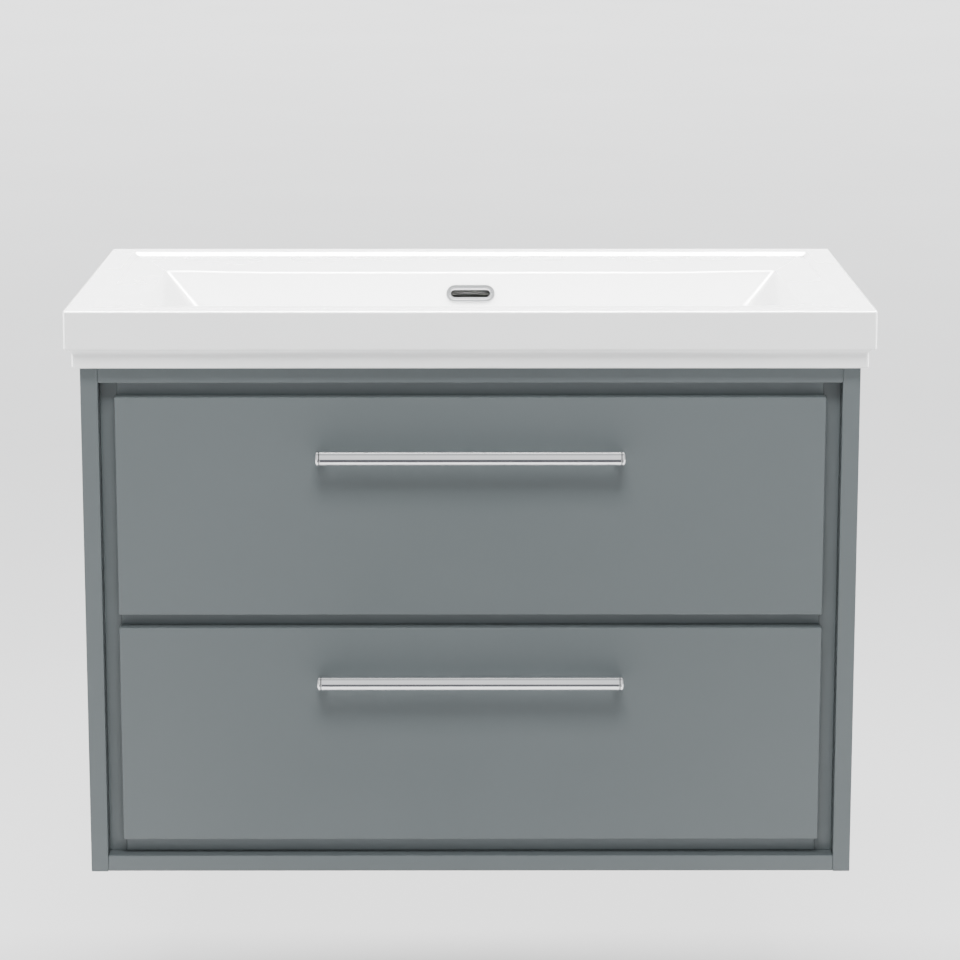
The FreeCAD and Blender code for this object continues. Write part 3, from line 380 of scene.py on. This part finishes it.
# Material, width of the eased edge, nodes.
BOARDS = (
    (PAINT, 1.0, ("side_panel_left", "side_panel_right", "bottom_panel", "top_front_rail")),
    (PAINT, 0.5, ("carcass_side_left", "carcass_side_right")),
    # The recessed boards take the lighter copy of the paint, which is painted light in the gaps.
    (RECESS_PAINT_PAINTED_LIGHT, 0.5, ("carcass_bottom", "recessed_top_rail", "mid_rail")),
    (FOIL, 0.7, DRAWER_BOARDS),
    (PAINT, 1.5, ("upper_drawer_front", "lower_drawer_front")),
)

for material, arris, nodes in BOARDS:
    for node in nodes:
        board(node, material, arris)


# ---------------------------------------------------------------- basin

SIDE_STEPS, END_STEPS, CORNER_STEPS = 26, 12, 8
BASIN_HALF, BASIN_FRONT, BASIN_TOP = 414, 490, 600
RIM_UNDERSIDE, STEP_UNDERSIDE, BOSS_UNDERSIDE = 560, 540, 452
STEP_INSET = 7
BORDER = 27
CASTING_FLOOR, BOWL_FLOOR = 475, 487.5
FLOOR_HALF, FLOOR_BACK, FLOOR_FRONT = 245, 218, 402
BOW, BOW_REACH = 13, 115
DRAIN_Y = -300
DRAIN_BORE, DRAIN_SEAT, DRAIN_BOSS = 23, 33.2, 36


def rounded_ring(half_x, back, front, height, back_corner, front_corner, bow=0):
    """A rounded rectangle by its distances from the wall. bow brings the back's middle forward."""
    corners = [
        (half_x - back_corner, -back - back_corner, back_corner, 90),
        (half_x - front_corner, -front + front_corner, front_corner, 0),
        (-half_x + front_corner, -front + front_corner, front_corner, -90),
        (-half_x + back_corner, -back - back_corner, back_corner, 180),
    ]
    arcs = []
    for x, y, radius, start in corners:
        arc = []
        for step in range(CORNER_STEPS + 1):
            turn = math.radians(start - 90 * step / CORNER_STEPS)
            arc.append((x + radius * math.cos(turn), y + radius * math.sin(turn)))
        arcs.append(arc)
    outline = []
    for index, steps in enumerate((END_STEPS, SIDE_STEPS, END_STEPS, SIDE_STEPS)):
        outline += arcs[index]
        (x0, y0), (x1, y1) = arcs[index][-1], arcs[(index + 1) % 4][0]
        for step in range(1, steps):
            share = step / steps
            outline.append((x0 + (x1 - x0) * share, y0 + (y1 - y0) * share))
    ring = []
    for x, y in outline:
        if bow and y > -back - back_corner - 1:
            share = min(max((half_x - abs(x)) / BOW_REACH, 0), 1)
            y -= bow * share * share * (3 - 2 * share)
        z = height(y) if callable(height) else height
        ring.append(place(x, y, z))
    return ring


def round_ring(radius, height):
    """A circle about the drain with as many points as a rounded_ring, in the same order."""
    count = 4 * CORNER_STEPS + 2 * SIDE_STEPS + 2 * END_STEPS
    ring = []
    for i in range(count):
        turn = math.pi / 2 - 2 * math.pi * (i + SIDE_STEPS / 2) / count
        ring.append(place(radius * math.cos(turn), DRAIN_Y + radius * math.sin(turn), height))
    return ring


def ledge_height(y):
    """The ledge inside the border lies 4.5 mm low at the back and 0.4 mm low at the front."""
    share = (-y - BORDER) / (BASIN_FRONT - 2 * BORDER)
    return BASIN_TOP - 4.5 + 4.1 * share


def basin_rings():
    """The casting's rings: underside, step, rim, border, ledge, bowl, drain and underside.
    Each station is a ring and, in millimetres, how far its corner is eased."""

    def lip(y):
        return ledge_height(y) - 1.2

    step_half, step_front = BASIN_HALF - STEP_INSET, BASIN_FRONT - STEP_INSET
    border_half, border_front = BASIN_HALF - BORDER, BASIN_FRONT - BORDER
    mm = 0.001
    stations = [
        (rounded_ring(340, 160, 444, 582, 18, 18), 6),
        (rounded_ring(390, 17, 458, 582, 6, 6), 3),
        (rounded_ring(390, 17, 458, STEP_UNDERSIDE, 6, 6), 1.5),
        (rounded_ring(step_half, 0, step_front, STEP_UNDERSIDE, 1, 4), 2.5),
        (rounded_ring(step_half, 0, step_front, RIM_UNDERSIDE - 3, 1, 4), 2.5),
        (rounded_ring(BASIN_HALF - 4, 0, BASIN_FRONT - 4, RIM_UNDERSIDE, 1, 4), 1),
        (rounded_ring(BASIN_HALF, 0, BASIN_FRONT, RIM_UNDERSIDE, 1, 4), 2),
        (rounded_ring(BASIN_HALF, 0, BASIN_FRONT, BASIN_TOP, 1, 4), 2.6),
        (rounded_ring(border_half, BORDER, border_front, BASIN_TOP, 5, 5), 1.5),
        (rounded_ring(border_half - 5, BORDER + 5.5, border_front, ledge_height, 4, 4), 1.5),
        (rounded_ring(339, 152, 440, lip, 4, 14, bow=BOW), 3),
        (rounded_ring(FLOOR_HALF, FLOOR_BACK, FLOOR_FRONT, BOWL_FLOOR, 16, 24), 14),
        (round_ring(60, BOWL_FLOOR - 0.1), 0),
        (round_ring(DRAIN_SEAT, BOWL_FLOOR - 0.1), 0.6),
        (round_ring(DRAIN_SEAT, BOWL_FLOOR - 3), 0.5),
        (round_ring(DRAIN_BORE, BOWL_FLOOR - 3), 0.8),
        (round_ring(DRAIN_BORE, BOSS_UNDERSIDE), 1),
        (round_ring(DRAIN_BOSS, BOSS_UNDERSIDE), 1.5),
        (round_ring(DRAIN_BOSS, CASTING_FLOOR), 3),
        (rounded_ring(248, 213, 408, CASTING_FLOOR, 18, 18), 12),
    ]
    return eased([(ring, radius * mm) for ring, radius in stations])


def make_basin():
    """The glazed casting, with its underside, overflow opening and bolt holes."""
    cutters = [overflow_cutter()]
    for side in (-1, 1):
        cutters.append(turned_mesh(f"bolt_cutter_{side}", [(7, -25), (7, 25)],
                                   Vector((side * 140, 0, 560)), "y", segments=40))
    casting = carved(mesh_from("basin_casting", lambda bm: skin(bm, basin_rings())), cutters)
    shown = piece("basin_casting", casting, GLAZE, "cabinet")
    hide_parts("basin")
    return shown


# The overflow lies on the bowl's back wall: across, up the wall, and out of it.
OVERFLOW_HEIGHT = 573
SLOT_END_STEPS = 16
WALL_TOP, WALL_RISE = 167.3, 107.3
WALL_TILT = math.atan2(FLOOR_BACK - WALL_TOP, WALL_RISE)
OVERFLOW_Y = -FLOOR_BACK + (OVERFLOW_HEIGHT - BOWL_FLOOR) * math.tan(WALL_TILT)


def on_wall(across, up, out):
    """A point near the overflow's centre, in metres, from its position on the tilted wall."""
    y = OVERFLOW_Y + up * math.sin(WALL_TILT) - out * math.cos(WALL_TILT)
    z = OVERFLOW_HEIGHT + up * math.cos(WALL_TILT) + out * math.sin(WALL_TILT)
    return place(across, y, z)


def stadium(half_length, half_height, out):
    """A slot's outline parallel to the wall, at a distance out of it."""
    reach = half_length - half_height
    ring = []
    for side, start in ((1, -90), (-1, 90)):
        for step in range(SLOT_END_STEPS + 1):
            turn = math.radians(start + 180 * step / SLOT_END_STEPS)
            ring.append(on_wall(side * reach + half_height * math.cos(turn),
                                half_height * math.sin(turn), out))
    return ring


def overflow_cutter():
    """The opening through the wall, for the trim's spigot."""
    rings = [stadium(22.7, 5, 6), stadium(22.7, 5, -22)]
    return mesh_from("overflow_cutter", lambda bm: capped_skin(bm, rings))


def make_overflow_trim():
    """A chrome plate with a groove round its raised lip, and a spigot into the opening."""
    # Half length, half height, distance out of the wall.
    sections = [
        (27.0, 10.0, 0.0), (27.0, 10.0, 0.8), (26.7, 9.7, 1.3), (26.2, 9.2, 1.5),
        (24.6, 7.9, 1.6), (24.3, 7.6, 1.0), (23.9, 7.2, 1.0), (23.6, 6.9, 1.9),
        (23.2, 6.4, 2.2), (22.4, 5.5, 2.2), (21.7, 4.7, 1.8), (21.4, 4.2, 1.2),
        (21.3, 4.1, 0.4), (21.3, 4.1, -7.5), (22.3, 4.8, -7.5), (22.3, 4.8, 0.0),
    ]
    mesh = mesh_from("overflow_ring", lambda bm: skin(bm, [stadium(*s) for s in sections]))
    shown = piece("overflow_ring", mesh, CHROME, "cabinet")
    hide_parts("overflow_trim")
    return shown


def make_overflow_duct():
    """The cast channel behind the bowl. Its solid foot runs on to the drain's centre line, so it
    overlaps the waste there."""
    half_width = 34
    outline = [(-120, BOSS_UNDERSIDE), (-120, 583), (-163, 583), (-216, 478), (DRAIN_Y, 478),
               (DRAIN_Y, BOSS_UNDERSIDE)]

    def outside(bm):
        ends = (-half_width, half_width)
        capped_skin(bm, [[place(x, y, z) for y, z in outline] for x in ends])
        bmesh.ops.bevel(bm, geom=bm.edges[:], offset=0.004, segments=3, affect="EDGES")

    def void(bm):
        add_box(bm, Vector((-24, -158, 464)), Vector((24, -130, 577)), 3)

    duct = carved(mesh_from("overflow_duct", outside),
                  [mesh_from("duct_void", void), overflow_cutter()])
    # The duct takes the dark grey body colour: painted shade seen through the overflow opening.
    piece("overflow_duct", duct, DUCT_PAINTED_SHADE, "cabinet")


BASIN = make_basin()
RING = make_overflow_trim()
make_overflow_duct()


# ---------------------------------------------------------------- handles

SEAM_RADIUS, SEAM_WIDTH = 5, 0.9
CAP_THICKNESS = 3.5
DRAWER_FACE = -470
ARM_BELOW, ARM_ABOVE = 7, 2
FOOT_LENGTH, FOOT_FRONT = 10, -484
HAIR = 0.02  # keeps the faces of overlapping blocks apart


def make_bar(name):
    """The bar, with a groove before each end cap, its faces coloured dark as painted shade."""
    low, high = edges_of(f"{name}_handle_bar")
    centre = (low + high) / 2
    half, radius = (high.x - low.x) / 2, (high.z - low.z) / 2
    end = SEAM_WIDTH - half
    profile = [(SEAM_RADIUS, -half), (SEAM_RADIUS, end), (radius - 0.3, end),
               (radius - 0.1, end + 0.1), (radius, end + 0.3)]
    profile += [(r, -shift) for r, shift in reversed(profile)]
    bar = piece(f"{name}_bar", turned_mesh(f"{name}_bar", profile, centre, "x"),
                CHROME, f"{name}_drawer")
    bar.data.materials.append(GROOVE_PAINTED_SHADE)
    axis = place(*centre)
    # The groove's faces take the dark metal, as painted shade.
    for face in bar.data.polygons:
        if (face.center - axis).yz.length < (radius - 1) / 1000:
            face.material_index = 1
    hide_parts(f"{name}_handle_bar")
    return bar


def cap_rings(centre, radius, side, inner, outer):
    """A turned end cap on the bar's axis, with a hair-thin bore that joins its two end faces."""
    rings = []
    for r, x in ((0.01, inner), (radius - 0.3, inner), (radius - 0.1, inner + side * 0.1),
                 (radius, inner + side * 0.3), (radius, inner + side * 1.5),
                 (radius - 0.15, inner + side * 2.1), (radius - 0.6, inner + side * 2.8),
                 (radius - 1.2, inner + side * 3.25), (radius - 2.1, outer), (0.01, outer)):
        turns = [math.tau * i / 64 for i in range(64)]
        rings.append([place(x, centre.y + r * math.cos(turn), centre.z + r * math.sin(turn))
                      for turn in turns])
    return rings


def add_arm(bm, axis, ends, front, gaps, round_by):
    """A block from the drawer's face out to front, between two x places, less the gaps."""
    across, up = gaps
    low = Vector((min(ends) + across, front, axis.z - ARM_BELOW + up))
    high = Vector((max(ends) - across, DRAWER_FACE, axis.z + ARM_ABOVE - up))
    add_box(bm, low, high, round_by)


def make_posts(name):
    """The two end caps on their arms, each with a foot on the drawer."""
    bar_low, bar_high = edges_of(f"{name}_handle_bar")
    low, high = edges_of(f"{name}_handle_posts")
    centre = (bar_low + bar_high) / 2

    def build(bm):
        for side in (-1, 1):
            outer = high.x * side
            inner = outer - side * CAP_THICKNESS
            skin(bm, cap_rings(centre, (high.z - low.z) / 2, side, inner, outer))
            add_arm(bm, centre, (inner, outer), centre.y, (HAIR, 0), 0.5)
            foot = (outer - side * FOOT_LENGTH, outer)
            add_arm(bm, centre, foot, FOOT_FRONT, (2 * HAIR, 2 * HAIR), 0.8)

    posts = piece(f"{name}_posts", mesh_from(f"{name}_posts", build), CHROME,
                  f"{name}_drawer")
    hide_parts(f"{name}_handle_posts")
    return posts


BARS, POSTS = [], []
for name in ("upper", "lower"):
    BARS.append(make_bar(name))
    POSTS.append(make_posts(name))


# ---------------------------------------------------------------- stage, lights and camera

FLOOR_BELOW_CABINET = 300
FLOOR_HEIGHT = -(HANGING_HEIGHT + FLOOR_BELOW_CABINET) / 1000
MAT_HEIGHT = FLOOR_HEIGHT + 0.002


def staged(name, corners, low, high):
    """A flat sheet of floor with a faint mottle."""
    mesh = bpy.data.meshes.new(name)
    mesh.from_pydata(corners, [], [tuple(range(len(corners)))])
    surface = Surface(name)
    surface.colours(surface.noise(0.8), low, high)
    surface.roughnesses(surface.noise(2), 0.7, 0.8)
    mesh.materials.append(surface.material)
    shown = bpy.data.objects.new(name, mesh)
    bpy.context.collection.objects.link(shown)
    return shown


staged("studio_floor", [(x, y, FLOOR_HEIGHT) for x, y in ((-60, -60), (60, -60), (60, 60), (-60, 60))],
       (0.70, 0.70, 0.70), (0.72, 0.72, 0.72))

# The mat only darkens what glossy surfaces mirror. The camera doesn't see it.
mat = staged("dark_mat", [(-0.8, -6, MAT_HEIGHT), (0.8, -6, MAT_HEIGHT),
                          (0.3, -1.1, MAT_HEIGHT), (-0.3, -1.1, MAT_HEIGHT)],
             (0.04, 0.04, 0.045), (0.05, 0.05, 0.055))
mat.visible_camera = mat.visible_diffuse = mat.visible_shadow = False


def softbox(name, location, target, size, power, lights=True, mirrored=True, only=(),
            leave_out=()):
    """A rectangular lamp, for all pieces or some. A card (lights=False) is only mirrored."""
    lamp = bpy.data.lights.new(name, "AREA")
    lamp.shape = "RECTANGLE"
    lamp.size, lamp.size_y = size
    lamp.energy = power
    shown = bpy.data.objects.new(name, lamp)
    shown.location = location
    shown.rotation_euler = (Vector(target) - Vector(location)).to_track_quat("-Z", "Y").to_euler()
    shown.visible_camera = False
    shown.visible_diffuse = lights
    shown.visible_glossy = mirrored
    bpy.context.collection.objects.link(shown)
    if only or leave_out:
        receivers = bpy.data.collections.new(name + "_receivers")
        for receiver in (*only, *leave_out):
            receivers.objects.link(receiver)
        for entry in receivers.collection_objects:
            entry.light_linking.link_state = "EXCLUDE" if leave_out else "INCLUDE"
        shown.light_linking.receiver_collection = receivers


# Some lamps reach only some pieces: the glaze's edge lines need far brighter cards than chrome.
CHROME_PIECES = (*BARS, *POSTS, RING)
FRONT_WALL = ((0, -6, 3.5), (0, 0, 3.5), (14, 9))

softbox("key", (0, -2.9, 3.0), (0, -0.3, 0), (1.5, 1.2), 220, mirrored=False, leave_out=[BASIN])
softbox("basin_key", (0, -2.0, 2.93), (0, -0.4, 0.1), (1.5, 1.2), 215, mirrored=False,
        only=[BASIN])
softbox("front", (0, -5.5, 0.9), (0, -0.3, 0), (4, 2.5), 50, mirrored=False, leave_out=[BASIN])
softbox("strip", (0, -0.38, 2.6), (0, -0.38, 0), (3.6, 0.4), 220, mirrored=False)
softbox("back", (0, 24, 8.2), (0, 0, 8.2), (50, 18), 12700)
softbox("far", (0, 12, 5), (0, 12, 0), (30, 16), 2600, mirrored=False)
softbox("edge_card", (0, 0.5, 2.6), (0, 0.5, 0), (4.8, 3), 4500, lights=False, only=[BASIN])
softbox("bowl_card", (0, -3.6, 3.2), (0, -0.2, 0.08), (6, 1.8), 450, lights=False, only=[BASIN])
for side in (-1, 1):
    softbox(f"corner_card_{side}", (side * 3, 0, -0.1), (0, 0, -0.1), (2.4, 2), 150,
            lights=False, only=[BASIN])
    softbox(f"bowl_side_{side}", (side * 2.5, -0.3, 1.6), (0, -0.3, 0.05), (1.5, 1), 150,
            mirrored=False, only=[BASIN])
softbox("chrome_top", (0, 0.45, 2.6), (0, 0.45, 0), (4, 2.3), 50, lights=False,
        only=CHROME_PIECES)
softbox("chrome_front", *FRONT_WALL, 200, lights=False, only=CHROME_PIECES)
softbox("cap_front", *FRONT_WALL, 5000, lights=False, only=POSTS)

world = bpy.data.worlds.new("studio")
world.use_nodes = True
sky = world.node_tree.nodes["Background"]
sky.inputs["Color"].default_value = (0.92, 0.94, 0.96, 1)
sky.inputs["Strength"].default_value = 0.76
bpy.context.scene.world = world

CAMERA_DOWN, CAMERA_RIGHT = 11.4, 0.115  # degrees below level and to the right of straight on

camera_data = bpy.data.cameras.new("camera")
camera_data.lens = 125.1
camera_data.sensor_width = 36
camera_data.clip_end = 200
camera = bpy.data.objects.new("camera", camera_data)
camera.location = place(3.15, -3840.1, 1101.1)
camera.rotation_euler = (math.radians(90 - CAMERA_DOWN), 0, math.radians(-CAMERA_RIGHT))
bpy.context.collection.objects.link(camera)
bpy.context.scene.camera = camera
